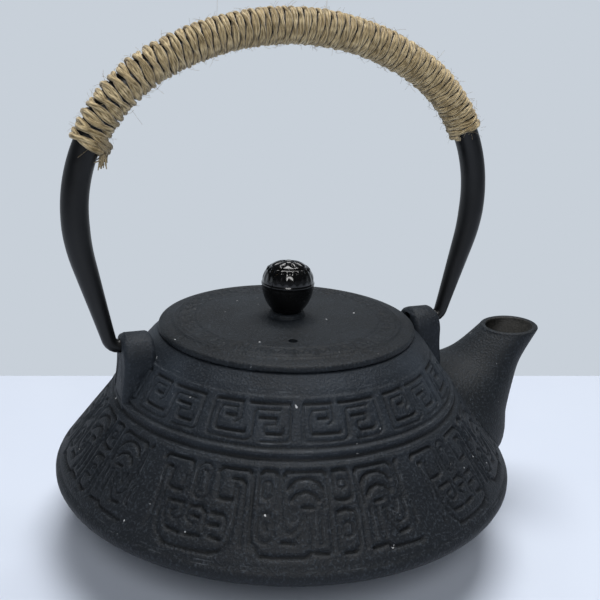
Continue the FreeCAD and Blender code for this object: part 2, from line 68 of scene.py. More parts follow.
# %% Place the camera
CAMERA_PLACE = Vector((-110.0, -280.6, 181.7)) * MM
CAMERA_AIM = Vector((0, 0, 88.2)) * MM
CAMERA_ROLL = math.radians(1.9)

camera_data = bpy.data.cameras.new("camera")
camera_data.lens = 51.66
camera_data.shift_x = 0.0211
camera = new_object("camera", camera_data)
camera.location = CAMERA_PLACE
camera.rotation_mode = "QUATERNION"
looking = (CAMERA_AIM - CAMERA_PLACE).to_track_quat("-Z", "Y")
camera.rotation_quaternion = looking @ Quaternion((0, 0, 1), CAMERA_ROLL)
bpy.context.scene.camera = camera
print("camera distance in mm", round((CAMERA_AIM - CAMERA_PLACE).length / MM))

# %% [markdown]
# ## Colours and nodes
# Colours are written as the sRGB hex codes that a colour picker shows, and one function turns
# them into the linear values that the shaders take. One more function adds a node: names that
# start with a small letter are settings of the node, other names and numbers are its sockets,
# and a value that is itself a socket is linked. It gives back the output that is asked for.

# %% Helpers for materials
def srgb(code):
    """A hex colour as the linear RGBA that a shader takes."""
    parts = [int(code[place:place + 2], 16) / 255 for place in (1, 3, 5)]
    linear = [part / 12.92 if part <= 0.04045 else ((part + 0.055) / 1.055) ** 2.4 for part in parts]
    return (*linear, 1)


def add(tree, kind, settings, output=0):
    """Add one node with its settings, socket values and links, and give one of its outputs."""
    made = tree.nodes.new("ShaderNode" + kind)
    for name, value in settings.items():
        if isinstance(name, str) and name[0].islower():
            setattr(made, name, value)
        elif isinstance(value, bpy.types.NodeSocket):
            tree.links.new(value, made.inputs[name])
        else:
            made.inputs[name].default_value = value
    return made.outputs[output]


def new_material(name, settings):
    """A material with only its shader, whose fixed values are set, and the way to link to it."""
    material = bpy.data.materials.new(name)
    material.use_nodes = True
    tree = material.node_tree
    shader = tree.nodes["Principled BSDF"]
    for socket, value in settings.items():
        shader.inputs[socket].default_value = value

    def feed(socket, value):
        tree.links.new(value, shader.inputs[socket])

    return material, tree, feed


COLOUR = {"data_type": "RGBA"}
MIXED = 2
print("a mid grey in linear light", round(srgb("#808080")[0], 3))

# %% [markdown]
# ## Cast iron
# The pot is poured in a sand mould and blackened. The sand leaves a fine even grain, and the
# black coat makes it a soft charcoal with broad dull highlights. Real sand grit is 0.3 mm, too
# fine to show, so the grain is drawn at about 0.8 mm. The colour is darker low on the pot. In
# the hollows of the ornament it is darker still, for a thicker coat and for painted shade, and
# pale lines along the shoulders of the grooves are rubbed wear and painted highlight: the
# piece's "hollow" attribute, 0 on the surface and 1 in a groove, says where.
# The lid and the spout take a darker copy of the iron, which is painted shade.

# %% Blackened cast iron
SAND_GRAIN = 0.8
CLOUD_SIZE = 16.0
SPECK_SIZE = 2.2
RUB_HIGHLIGHT_PLACE = 0.11
RUB_HIGHLIGHT_PATCH = 4.0
DARKER_BELOW = (45, 66)
SANDY, COAT_AND_SHADE_IN_HOLLOWS, RUB_AND_HIGHLIGHT, SPECKS = (srgb(code) for code in ("#414850", "#0e1012", "#62676d", "#b4b6b8"))


def make_cast_iron(name, shades, low_colour):
    """Sand-cast iron with a matt black coat, darker low on the pot, with painted shade in the grooves."""
    fixed = {"Metallic": 0.0, "IOR": 1.5, "Specular IOR Level": 0.25}
    material, tree, feed = new_material(name, fixed)
    place = add(tree, "TexCoord", {}, "Object")
    cloud, grain, patch, dots = (
        add(tree, "TexNoise", {"Vector": place, "Scale": 1 / (size * MM), "Detail": detail})
        for size, detail in ((CLOUD_SIZE, 4), (SAND_GRAIN, 3), (RUB_HIGHLIGHT_PATCH, 3), (SPECK_SIZE, 1))
    )
    hollow = add(tree, "Attribute", {"attribute_name": "hollow"}, "Fac")
    height = add(tree, "SeparateXYZ", {"Vector": place}, "Z")

    cloudy = add(tree, "MapRange", {0: cloud, 1: 0.35, 2: 0.65})
    coat = add(tree, "Mix", {**COLOUR, 0: cloudy, 6: srgb(shades[0]), 7: srgb(shades[1])}, MIXED)
    # The colour goes darker towards the bottom of the pot.
    raised = add(tree, "MapRange", {0: height, 1: DARKER_BELOW[0] * MM, 2: DARKER_BELOW[1] * MM})
    coat = add(tree, "Mix", {**COLOUR, 0: raised, 6: srgb(low_colour), 7: coat}, MIXED)
    grit = add(tree, "MapRange", {0: grain, 1: 0.52, 2: 0.75, 4: 0.55})
    coat = add(tree, "Mix", {**COLOUR, 0: grit, 6: coat, 7: SANDY}, MIXED)
    # Darker in the grooves: a thicker coat there, and painted shade.
    deep = add(tree, "MapRange", {0: hollow, 1: 0.35, 2: 1.0, 4: 0.8})
    coat = add(tree, "Mix", {**COLOUR, 0: deep, 6: coat, 7: COAT_AND_SHADE_IN_HOLLOWS}, MIXED)

    # Pale lines along the groove shoulders: rubbed wear, and painted highlight where the edges catch light.
    shoulder = add(tree, "Math", {"operation": "PINGPONG", 0: hollow, 1: RUB_HIGHLIGHT_PLACE})
    on_wall = add(tree, "Math", {"operation": "LESS_THAN", 0: hollow, 1: 2 * RUB_HIGHLIGHT_PLACE})
    patchy = add(tree, "MapRange", {0: patch, 1: 0.5, 2: 0.7, 4: 0.4})
    rub_highlight = add(tree, "MapRange", {0: shoulder, 1: 0.02, 2: RUB_HIGHLIGHT_PLACE})
    for factor in (on_wall, patchy):
        rub_highlight = add(tree, "Math", {"operation": "MULTIPLY", 0: rub_highlight, 1: factor})
    coat = add(tree, "Mix", {**COLOUR, 0: rub_highlight, 6: coat, 7: RUB_AND_HIGHLIGHT}, MIXED)
    speck = add(tree, "MapRange", {0: dots, 1: 0.79, 2: 0.82})
    feed("Base Color", add(tree, "Mix", {**COLOUR, 0: speck, 6: coat, 7: SPECKS}, MIXED))
    feed("Roughness", add(tree, "MapRange", {0: grain, 1: 0.3, 2: 0.7, 3: 0.5, 4: 0.68}))
    feed("Normal", add(tree, "Bump", {"Height": grain, "Distance": 0.34 * MM}))
    return material


cast_iron = make_cast_iron("blackened cast iron", ("#1b2026", "#262c33"), "#14181d")
# A darker copy of the cast iron for the lid and the spout: painted shade.
shaded_iron = make_cast_iron("blackened iron, painted shade", ("#12161a", "#1b2025"), "#12161a")
print("cast iron nodes", len(cast_iron.node_tree.nodes))

# %% [markdown]
# The other hard finishes are simpler, so one function makes them: one noise spreads two shades
# and the roughness, and another gives the relief. The inside of the spout was never coated by
# hand, so it has a thin brown film from the kiln, warmer and rougher than the black coat.

# %% Hard finishes, and brown iron inside the spout
def make_finish(name, fixed, pattern, shades, rough, relief, squeeze=1, contrast=(0.35, 0.65)):
    """A hard finish; pattern is a size in mm and a detail, relief the same and a depth in mm."""
    material, tree, feed = new_material(name, fixed)
    place = add(tree, "TexCoord", {}, "Object")
    place = add(tree, "Mapping", {"Vector": place, "Scale": (1, 1, squeeze)})
    tone, height = (
        add(tree, "TexNoise", {"Vector": place, "Scale": 1 / (size * MM), "Detail": detail})
        for size, detail in (pattern, relief[:2])
    )
    dark, light = (srgb(code) for code in shades)
    share = add(tree, "MapRange", {0: tone, 1: contrast[0], 2: contrast[1]})
    feed("Base Color", add(tree, "Mix", {**COLOUR, 0: share, 6: dark, 7: light}, MIXED))
    feed("Roughness", add(tree, "MapRange", {0: tone, 1: 0.3, 2: 0.7, 3: rough[0], 4: rough[1]}))
    feed("Normal", add(tree, "Bump", {"Height": height, "Distance": relief[2] * MM}))
    print(name, "has", len(tree.nodes), "nodes")
    return material


film = {"IOR": 1.5, "Specular IOR Level": 0.4}
sand = (SAND_GRAIN, 3)
kiln_iron = make_finish("kiln-brown iron", film, sand, ("#191917", "#2c2b28"), (0.5, 0.75), (*sand, 0.15))

# %% [markdown]
# ## Black finishes of the handle and the knob
# The bar is enamelled steel: a satin black skin with a very shallow orange peel. The knob is
# lacquered: deep black under a clear gloss coat, so that it mirrors the room in small bright
# spots. On both, a fine noise in the roughness stops the highlight from looking like plastic.

# %% Satin enamel and gloss lacquer
SMEARS = (7.0, 3)
PEEL = (1.6, 2)

satin = {"IOR": 1.5, "Specular IOR Level": 0.35}
satin_enamel = make_finish(
    "satin black enamel", satin, SMEARS, ("#060708", "#0c0d0f"), (0.34, 0.46), (*PEEL, 0.05)
)
gloss = {"IOR": 1.5, "Coat Weight": 0.2, "Coat Roughness": 0.05, "Specular IOR Level": 0.4}
gloss_lacquer = make_finish(
    "gloss black lacquer", gloss, SMEARS, ("#050505", "#0a0a0a"), (0.1, 0.2), (*PEEL, 0.02)
)

# %% [markdown]
# ## Stainless steel
# The strainer basket and the knob's fastener are pressed from stainless sheet. Rolling leaves
# fine lines along one way, which stretch the highlight, so the noise is squeezed along Z. Real
# rolling lines are too fine to show, so they are drawn about a third of a millimetre apart.

# %% Rolled stainless steel
LINES = (4.0, 3)
SQUEEZE = 12

stainless = make_finish(
    "rolled stainless steel", {"Metallic": 1.0}, LINES, ("#b9babb", "#d0d1d2"), (0.22, 0.4),
    (*LINES, 0.02), SQUEEZE, (0, 1),
)

# %% [markdown]
# ## Jute
# The twine is natural jute, two plies twisted together. Bast fibres run along each ply, pale
# straw where they catch light and brown between. The pattern follows the ply through its UV
# map: u runs along it and v around it, so noise stretched along u draws the fibres.

# %% Natural jute
FIBRES_ROUND = 9
FIBRE_RUNS = 900
STRAW_PATCH = 5.0


def make_jute():
    """Jute fibre, matt, with the fibres drawn along the ply."""
    fixed = {"IOR": 1.45, "Sheen Weight": 0.35, "Sheen Roughness": 0.5, "Specular IOR Level": 0.2}
    material, tree, feed = new_material("natural jute", fixed)
    place = add(tree, "TexCoord", {}, "Object")
    on_ply = add(tree, "TexCoord", {}, "UV")
    along = add(tree, "Mapping", {"Vector": on_ply, "Scale": (FIBRE_RUNS, FIBRES_ROUND, 1)})
    fibre = add(tree, "TexNoise", {"Vector": along, "Scale": 1.0, "Detail": 4.0})
    patch = add(tree, "TexNoise", {"Vector": place, "Scale": 1 / (STRAW_PATCH * MM), "Detail": 3})
    patchy = add(tree, "MapRange", {0: patch, 1: 0.35, 2: 0.65})
    straw = add(tree, "Mix", {**COLOUR, 0: patchy, 6: srgb("#b7a177"), 7: srgb("#dac69c")}, MIXED)
    lit = add(tree, "MapRange", {0: fibre, 1: 0.38, 2: 0.62})
    feed("Base Color", add(tree, "Mix", {**COLOUR, 0: lit, 6: srgb("#6f5f40"), 7: straw}, MIXED))
    feed("Roughness", add(tree, "MapRange", {0: fibre, 1: 0.3, 2: 0.7, 3: 0.75, 4: 0.95}))
    feed("Normal", add(tree, "Bump", {"Height": fibre, "Distance": 0.25 * MM}))
    return material


jute = make_jute()
print("jute nodes", len(jute.node_tree.nodes))

# %% [markdown]
# ## Helpers for shapes
# Most of the pot is turned work. The nearest thing in Blender is the Spin operator: a profile
# is drawn once, as (radius, height, rounding, pitch) corners, and swept a full turn. Rounding
# is the fillet at the corner, and pitch is how closely the straight after it is divided.

# %% Profile, lathe and finishing helpers
ARC_STEPS = 4


def fillet(before, corner, after, radius):
    """Points of the arc that rounds one corner."""
    back = (before - corner).normalized()
    ahead = (after - corner).normalized()
    half = back.angle(ahead) / 2
    reach = radius / math.tan(half)
    centre = corner + (back + ahead).normalized() * (radius / math.sin(half))
    start = corner + back * reach - centre
    finish = corner + ahead * reach - centre
    turns = [start.slerp(finish, step / ARC_STEPS) for step in range(ARC_STEPS + 1)]
    return [centre + turn * radius for turn in turns]


def profile(corners):
    """The profile's points, with its fillets and its divided straights."""
    places = [Vector(corner[:2]) for corner in corners]
    points = []
    for number, (_, _, rounding, pitch) in enumerate(corners):
        here = [places[number]]
        if rounding and 0 < number < len(corners) - 1:
            here = fillet(places[number - 1], places[number], places[number + 1], rounding)
        points.extend(here)
        if pitch:
            ahead = places[number + 1]
            next_rounding = corners[number + 1][2]
            if next_rounding:
                ahead = fillet(places[number], ahead, places[number + 2], next_rounding)[0]
            count = max(1, round((ahead - here[-1]).length / pitch))
            points.extend(here[-1].lerp(ahead, step / count) for step in range(1, count))
    return points


def lathe(points, steps):
    """A full turn of a profile about Z, closed at the poles."""
    shape = bmesh.new()
    corners = [shape.verts.new((point.x * MM, 0, point.y * MM)) for point in points]
    for here, there in zip(corners, corners[1:]):
        shape.edges.new((here, there))
    whole = shape.verts[:] + shape.edges[:]
    turn = {"cent": (0, 0, 0), "axis": (0, 0, 1), "angle": 2 * math.pi, "steps": steps}
    bmesh.ops.spin(shape, geom=whole, use_merge=True, **turn)
    bmesh.ops.remove_doubles(shape, verts=shape.verts, dist=0.005 * MM)
    bmesh.ops.recalc_face_normals(shape, faces=shape.faces)
    return shape


def mesh_from(shape, name):
    """A mesh with the bmesh's shape; the bmesh is freed."""
    mesh = bpy.data.meshes.new(name)
    shape.to_mesh(mesh)
    shape.free()
    return mesh


def finish_piece(mesh, materials, body, nodes=(), sharp=None):
    """Turn a mesh into a shaded piece that rides on its body."""
    name = mesh.name
    mesh.shade_smooth()
    if sharp:
        mesh.set_sharp_from_angle(angle=math.radians(sharp))
    for material in materials:
        mesh.materials.append(material)
    piece = new_object(name, mesh)
    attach(piece, body)
    if nodes:
        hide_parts(*nodes)
    corners = sum(len(face.vertices) - 2 for face in mesh.polygons)
    print(f"{name}: {len(mesh.vertices)} vertices, {corners} triangles")
    return piece


def mesh_points(mesh):
    """A mesh's vertices as an array in millimetres."""
    flat = np.empty(len(mesh.vertices) * 3)
    mesh.vertices.foreach_get("co", flat)
    return flat.reshape(-1, 3) / MM


def set_mesh_points(mesh, points):
    """Put an array in millimetres back into a mesh."""
    mesh.vertices.foreach_set("co", (points * MM).astype(np.float32).ravel())
    mesh.update()


def soft_step(value):
    """0 to 1 with soft ends, for walls and blends."""
    held = np.clip(value, 0, 1)
    return held * held * (3 - 2 * held)


# %% [markdown]
# ## The ornament
# On the real pot the ornament is cut into the sand mould, so it stands in the iron as soft
# ribbons with grooves between. It is drawn here as grooves: under each width stand the middle
# lines of its grooves, across the pattern and down from the band's upper line. Down is in
# millimetres, and across is in degrees round the pot on the key band and in mm on the panels.
# Drawing it with an image would be quicker, but a groove that is real in the mesh catches the
# light along its walls and shows in the outline of the pot.

# %% Grooves of the key band
BAR = 1.25
LINE = 0.75


def box_line(left, right, top, bottom, corner=0.8):
    """The middle line of a groove round a small box with cut corners."""
    return [
        (left + corner, top), (right - corner, top), (right, top + corner),
        (right, bottom - corner), (right - corner, bottom), (left + corner, bottom),
        (left, bottom - corner), (left, top + corner), (left + corner, top),
    ]


KEY_PAIR = {
    BAR: [
        [(0.4, 2.9), (9.6, 2.9)], [(2.6, 12.4), (11.3, 12.4)], [(4.9, 7.7), (7.8, 7.7)],
        [(12.4, 2.9), (25.4, 2.9)], [(16.1, 7.6), (21, 7.6)], [(18.4, 12.4), (22.9, 12.4)],
    ],
    LINE: [
        [(9.7, 3), (9.6, 8.4), (7.8, 9.7)], [(8.1, 5), (2.9, 5.1), (2.1, 7), (2.1, 12)],
        [(11.6, 12.2), (11.7, 11.3)], [(8, 7.7), (8, 6.1)],
        [(-0.2, 3.4), (-0.1, 14.7), (12.2, 14.9), (13.6, 14.1), (14, 12.8), (14, 5.8), (14.7, 5), (22.4, 5)],
        [(25.7, 3.1), (25.7, 13.6), (24.8, 14.7), (16.6, 14.9)],
        [(21.2, 7.6), (21.2, 9.5), (17.6, 9.7), (17.6, 12)], [(23.4, 12.2), (23.4, 10.6)],
    ],
}
KEY_PAIRS_ROUND = 12
KEY_START = math.radians(-134.8)
KEY_LEAD = math.radians(1.5)
print("key band grooves", sum(map(len, KEY_PAIR.values())), "repeated", KEY_PAIRS_ROUND, "times")

# %% [markdown]
# The lower band has five repeats of two panels. The narrow one holds hooks and curls, and the
# wide one is the same on both sides of its middle, with arches, ovals and small eyes.

# %% Grooves of the scroll panels
NARROW_PANEL = {
    BAR: [
        [(-17.3, 2.8), (-16.3, 1.5), (-6.4, 1.3), (-5.3, 2)], [(-11.2, 11), (-6.9, 11)],
        [(-14.8, 4.8), (-13.1, 4.8)], [(4.9, 2.8), (5.9, 1.4), (15.2, 1.3), (16.3, 2.3)],
        [(10.3, 4.5), (13.4, 4.5), (14.4, 5.6)], [(6.6, 11), (10.8, 11)], [(-9.8, 14.6), (-4.6, 14.4)],
        [(-7.8, 22.9), (-3.8, 23.4)], [(-1.9, 14.8), (1.5, 14.4), (3.2, 16)], [(2.6, 23), (-1.6, 23.3)],
        [(-0.7, 17.5), (1.4, 17.7)], [(5.2, 15.6), (8.8, 15.6)], [(9, 23.1), (6.2, 22.5)],
        [(5, 19.1), (7.8, 18.9)], [(-8, 27.1), (-5, 27.5), (6, 27.3), (9, 26.6)],
    ],
    LINE: [
        [(-5, 2.6), (-4.9, 10.4)], [(-11.8, 5.2), (-11.8, 10.4)], [(-6.3, 10.4), (-6.4, 6.6)],
        [(-15.3, 5), (-14.2, 14), (-14, 24.5)],
        [(-12.7, 5), (-12.3, 13.5), (-11.7, 20), (-10.5, 24), (-8.2, 26.6)],
        box_line(-2.8, 2.6, 1.3, 12, 1.6), box_line(-1.6, 1.4, 3.5, 10.2, 1),
        [(16.7, 2.8), (17, 12), (17.6, 24.5)], [(5.5, 4), (6, 10.2)], [(11.2, 10.4), (11.3, 6)],
        [(12.8, 7), (12.8, 12), (12.2, 19), (11.4, 23.6), (9.4, 26.2)],
        [(14.7, 6.2), (14.9, 14), (15.3, 24)],
        [(-4.1, 15), (-4.1, 18.9), (-6.2, 20), (-8.1, 18.6), (-8, 17.2), (-6.4, 17)],
        [(-10.3, 15), (-10, 18.5), (-8.7, 21.8)], [(3.6, 16.6), (3.6, 21.6)],
        [(-2.5, 15.6), (-2.3, 18.6), (0.4, 20.3)], [(9.6, 16), (10, 17.4), (10, 22)],
    ],
}
WIDE_PANEL_HALF = {
    BAR: [
        [(-25.6, 26.4), (-22, 26.8), (-12.6, 26.5), (-11.2, 25)],
        [(-27, 1.9), (-26.2, 1.1), (-22.6, 1.1), (-21.8, 2)],
        [(-19.8, 2.6), (-18.7, 1.1), (-6.1, 1.1), (-5.2, 2.2)],
        [(-17.9, 6.4), (-16.7, 4.6), (-14.7, 3.5), (-12.3, 3.2), (-9.9, 3.5), (-8, 4.6), (-6.8, 6.4)],
        [(-16.8, 9.9), (-15.3, 8.1), (-12.3, 7.2), (-9.6, 8.1), (-8.3, 9.9)],
        [(-13.2, 11.9), (-10.4, 12.1)], [(-19.3, 22.2), (-16, 22.7)], [(-10, 25.4), (-6.8, 25.7)],
        [(-2.4, 1.2), (0, 0.9)], [(-2.4, 9.9), (0, 10.4)], [(-2.3, 13.6), (0, 13.2)],
        [(-1.5, 25.9), (0, 26.1)],
    ],
    LINE: [
        [(-29.4, 1.6), (-28.9, 20), (-28, 23.6), (-26.1, 26)], [(-27.6, 2.4), (-27.4, 12)],
        [(-21.3, 2.6), (-21.3, 13)], box_line(-26.2, -23.4, 4.3, 9.6, 0.9),
        box_line(-27, -22.3, 13.9, 22.6, 1.7), [(-25.2, 16.8), (-24.9, 19.2), (-24.4, 19.2), (-24.1, 16.8)],
        [(-20, 3.2), (-19.9, 17), (-19, 19), (-16.9, 19.8), (-14.8, 17.8), (-13.5, 14.2)],
        [(-6.5, 7.2), (-6.6, 12.4)], [(-17.6, 12.6), (-16.9, 16.4), (-15.6, 15.2), (-15.8, 12.4)],
        [(-12.3, 14.4), (-13.6, 19), (-15.6, 21.9)], [(-10.4, 14), (-10.4, 20.4), (-11, 23.6)],
        [(-7.8, 14.2), (-7.8, 23)], [(-4.9, 2.8), (-4.9, 25.4)], [(-3, 2), (-3.2, 9.4)],
        [(0, 3.8), (-1.3, 4.4), (-1.3, 6.2), (0, 6.8)], [(-3, 14.6), (-3, 24), (-1.8, 25.8)],
        [(0, 16.8), (-1.3, 17.6), (-1.3, 20.6), (0, 21.4)],
    ],
}
WIDE_PANEL = {
    width: lines + [[(-across, down) for across, down in line] for line in lines]
    for width, lines in WIDE_PANEL_HALF.items()
}
PANELS_ROUND = 5
PANEL_START = math.radians(-131.7)
PANEL_LEAD = math.pi / 2 / PANELS_ROUND
PANEL_SCALE = math.radians(1) * 74.3
print("panel grooves", [sum(map(len, panel.values())) for panel in (NARROW_PANEL, WIDE_PANEL)])

# %% [markdown]
# ## How deep the grooves go
# For every vertex of the pot's outside the script finds the nearest groove line. Inside half
# the groove's width the iron is at full depth, and a soft wall leads back to the surface.

# %% Groove depth from the lines
WALL_WIDTH = 0.75
FULL_DEPTH = {BAR: 1.15, LINE: 0.85}


def groove_depth(across, down, grooves):
    """Depth in mm at points given across and down the pattern."""
    depth = np.zeros_like(across)
    for width, lines in grooves.items():
        nearest = np.full_like(across, np.inf)
        for (x0, y0), (x1, y1) in (pair for line in lines for pair in zip(line, line[1:])):
            dx, dy = x1 - x0, y1 - y0
            share = ((across - x0) * dx + (down - y0) * dy) / (dx * dx + dy * dy)
            share = np.clip(share, 0, 1)
            nearest = np.minimum(nearest, np.hypot(across - x0 - share * dx, down - y0 - share * dy))
        wall = soft_step((nearest - (width - WALL_WIDTH) / 2) / WALL_WIDTH)
        depth = np.maximum(depth, FULL_DEPTH[width] * (1 - wall))
    return depth


def bell(value, middle, half_width):
    """A soft hump, 1 at the middle and 0 past the half width."""
    return 1 - soft_step(np.abs(value - middle) / half_width)


def across_repeat(angle, start, repeats, lead):
    """Degrees from the start of the repeat that a point is in, from -lead up."""
    return np.degrees(np.mod(angle - start + lead, 2 * math.pi / repeats) - lead)


def key_grooves(angle, down, waver):
    """Groove depth on the key band."""
    across = across_repeat(angle, KEY_START, KEY_PAIRS_ROUND, KEY_LEAD) + waver * 0.6
    return groove_depth(across, down, KEY_PAIR)


def panel_grooves(angle, down, waver):
    """Groove depth on the panels; a wide one stands half a repeat after each narrow one."""
    across = across_repeat(angle, PANEL_START, PANELS_ROUND, PANEL_LEAD) * PANEL_SCALE + waver
    wide = across - 180 / PANELS_ROUND * PANEL_SCALE
    return np.maximum(groove_depth(across, down, NARROW_PANEL), groove_depth(wide, down, WIDE_PANEL))


# %% [markdown]
# ## The vessel
# One iron casting: a flat foot, a shallow dish below, a sharp edge, and a steep cone that
# carries the ornament up to the seat of the lid. It is one spun profile. The cone's rows are
# little more than half a millimetre apart, because the grooves are pressed in there afterwards;
# the inside, which is plain, has only a few. The circles round the pot are (place down the
# cone, half width, depth), and a waver of a tenth of a millimetre keeps the lines hand-made.

# %% Spin the vessel and press the ornament into it
FOOT_RADIUS = 40.0
EDGE = (86.6, 27.0)
RING = (65.0, 54.7)
BAND = (51.9, 73.2)
LAND = (47.0, 78.0)
KEY_PITCH = 0.55
PANEL_PITCH = 0.58
VESSEL_STEPS = 640
BORDER_START = (81.4, 33.7)

VESSEL_PROFILE = [
    (0, 1.2, 0, 0),
    (33.5, 1.2, 0.8, 0),
    (35, 0, 0.5, 0),
    (FOOT_RADIUS, 0, 0.5, 0),
    (FOOT_RADIUS, 1.5, 0.8, 12),
    (*EDGE, 3.4, 0.9),
    (*BORDER_START, 0, PANEL_PITCH),
    (*RING, 0, 0.5),
    (62.8, 57.8, 0, KEY_PITCH),
    (*BAND, 0, 1.2),
    (*LAND, 1.7, 0),
    (42, 78, 0.3, 0),
    (42, 77.1, 0, 0),
    (38, 77.1, 0.4, 0),
    (38, 73, 0, 0),
    (48.1, 71.2, 0, 0),
    (61.8, 52.3, 0, 0),
    (80.6, 27, 3, 0),
    (41, 5.5, 8, 0),
    (0, 5.5, 0, 0),
]
RELIEF = (
    # upper end, lower end, grooves, circles cut, circle raised
    (BAND, RING, key_grooves, ((0.2, 0.7, 0.5), (16.8, 1.2, 0.85), (20.2, 1.5, 1.05)), (18.5, 1.0, 0.5)),
    (RING, EDGE, panel_grooves, ((30.2, 0.9, 0.35),), (0.1, 0.9, 0.4)),
)


def along_stretch(points, top, bottom):
    """How far down a straight of the profile each vertex is, which ones are on it, and its way."""
    run = np.array(bottom) - np.array(top)
    length = np.hypot(*run)
    run /= length
    away = np.stack([np.hypot(points[:, 0], points[:, 1]) - top[0], points[:, 2] - top[1]], axis=1)
    down = away @ run
    off = np.abs(away @ np.array([run[1], -run[0]]))
    return down, (off < 0.02) & (down > -0.01) & (down < length + 0.01), run


def press_ornament(mesh):
    """Push the outside in at the grooves and out at the two rings, and note where it is hollow."""
    points = mesh_points(mesh)
    angle = np.arctan2(points[:, 1], points[:, 0])
    hollow = np.zeros(len(points))
    waver = 0.1 * np.sin(angle * 7 + points[:, 2] * 0.21) + 0.08 * np.sin(angle * 23 - points[:, 2] * 0.5)
    for top, bottom, grooves, circles, (ridge, ridge_half, ridge_height) in RELIEF:
        down, found, run = along_stretch(points, top, bottom)
        theta, low = angle[found], down[found] + waver[found] * 0.5
        cut = grooves(theta, low, waver[found])
        for place, half_width, depth in circles:
            cut = np.maximum(cut, depth * bell(low, place, half_width))
        cut *= 0.9 + 0.12 * np.sin(theta * 3 + 1) * np.sin(theta * 11)
        move = ridge_height * bell(low, ridge, ridge_half) - cut
        radius = np.hypot(points[found, 0], points[found, 1])
        points[found, :2] *= (1 - move * run[1] / radius)[:, None]
        points[found, 2] += move * run[0]
        hollow[found] = np.maximum(hollow[found], np.clip(cut, 0, 1))
        print(f"relief from {move.min():.2f} to {move.max():.2f} mm")
    set_mesh_points(mesh, points)
    mesh.attributes.new("hollow", "FLOAT", "POINT").data.foreach_set("value", hollow.astype(np.float32))


vessel_mesh = mesh_from(lathe(profile(VESSEL_PROFILE), VESSEL_STEPS), "vessel")
vessel = finish_piece(vessel_mesh, [cast_iron], "pot", ["pot_body"])
press_ornament(vessel.data)

# %% [markdown]
# ## The spout
# The spout is cast with the pot, but it has its own form: a wide root that narrows into a
# short neck with a flat, rounded lip. It is lofted: a circle is made at each station, turned
# with the spout's lean, and bridged to the next one. A smooth curve through the few stations
# gives the circles between. The root's points are then slid along the spout until they lie
# just under the skin of the cone, so nothing pokes into the inside of the pot.

# %% Stations along the spout
SPOUT_STATIONS = np.array([
    # across, up, lean in degrees, radius
    (53.0, 35.0, 58.0, 23.0),
    (69.2, 39.3, 40.0, 28.2),
    (75.5, 47.1, 25.4, 22.4),
    (81.6, 52.4, 14.5, 17.8),
    (88.8, 58.9, 5.0, 13.7),
    (98.4, 69.0, -3.0, 11.7),
])
SPOUT_SIDES = 72
SPOUT_ROWS = 26
SPOUT_WALL = 2.4
SINK = 1.2
CONE_COSINE = 0.79
FOOT_EDGE = 1.5


def through(stations, share):
    """A smooth curve through the stations, at a share of the way from first to last."""
    place = share * (len(stations) - 1)
    first = int(min(place, len(stations) - 2))
    before = stations[max(first - 1, 0)]
    here, after = stations[first], stations[first + 1]
    beyond = stations[min(first + 2, len(stations) - 1)]
    ease = place - first
    return 0.5 * (
        2 * here + (after - before) * ease
        + (2 * before - 5 * here + 4 * after - beyond) * ease ** 2
        + (3 * here - before - 3 * after + beyond) * ease ** 3
    )


def spout_point(share, turn, inset=0.0, lift=0.0):
    """A point on the spout's surface, in mm; turn is the angle round it."""
    across, up, lean, radius = through(SPOUT_STATIONS, share)
    radius -= inset
    lean = math.radians(lean)
    out = radius * math.cos(turn)
    return Vector((
        across + out * math.cos(lean) + lift * math.sin(lean),
        radius * math.sin(turn),
        up - out * math.sin(lean) + lift * math.cos(lean),
    ))


def cone_radius(height):
    """The radius of the vessel's outside at a height, in mm."""
    heights = (FOOT_EDGE, EDGE[1], RING[1], BAND[1])
    return float(np.interp(height, heights, (FOOT_RADIUS, EDGE[0], RING[0], BAND[0])))


def under_skin(point):
    """How far a point is outside the cone, square to it, in mm, plus the depth of the root."""
    return (point.xy.length - cone_radius(point.z)) * CONE_COSINE + SINK


def root_share(turn):
    """Where along the spout one of its long lines leaves the cone."""
    low, high = 0.0, 1.0
    for _ in range(24):
        middle = (low + high) / 2
        if under_skin(spout_point(middle, turn)) > 0:
            high = middle
        else:
            low = middle
    return high


# %% Bridge the rings into the spout's shell
ROOT_FLARE = 1.6
FLARE_ROWS = 1.4
LIP_STEPS = 8
LIP_HEIGHT = 0.8
ROOT_EXTRA_WALL = 2.2
TURNS = [2 * math.pi * side / SPOUT_SIDES for side in range(SPOUT_SIDES)]


def add_ring(shape, places):
    """A ring of vertices at the places given, and its edges."""
    ring = bmesh.ops.create_circle(shape, segments=len(places), radius=MM)["verts"]
    for vertex, place in zip(ring, places):
        vertex.co = place * MM
    return ring


def bridge_rings(shape, rings):
    """Faces between each ring and the next."""
    loops = [
        {edge for vertex in ring for edge in vertex.link_edges if edge.other_vert(vertex) in ring}
        for ring in [set(ring) for ring in rings]
    ]
    for loop, following in zip(loops, loops[1:]):
        bmesh.ops.bridge_loops(shape, edges=list(loop | following))


def spout_row(row, roots, inset):
    """One row of places round the spout, counted from its root to its lip."""
    share = row / SPOUT_ROWS
    return [spout_point(root + (1 - root) * share, turn, inset) for root, turn in zip(roots, TURNS)]


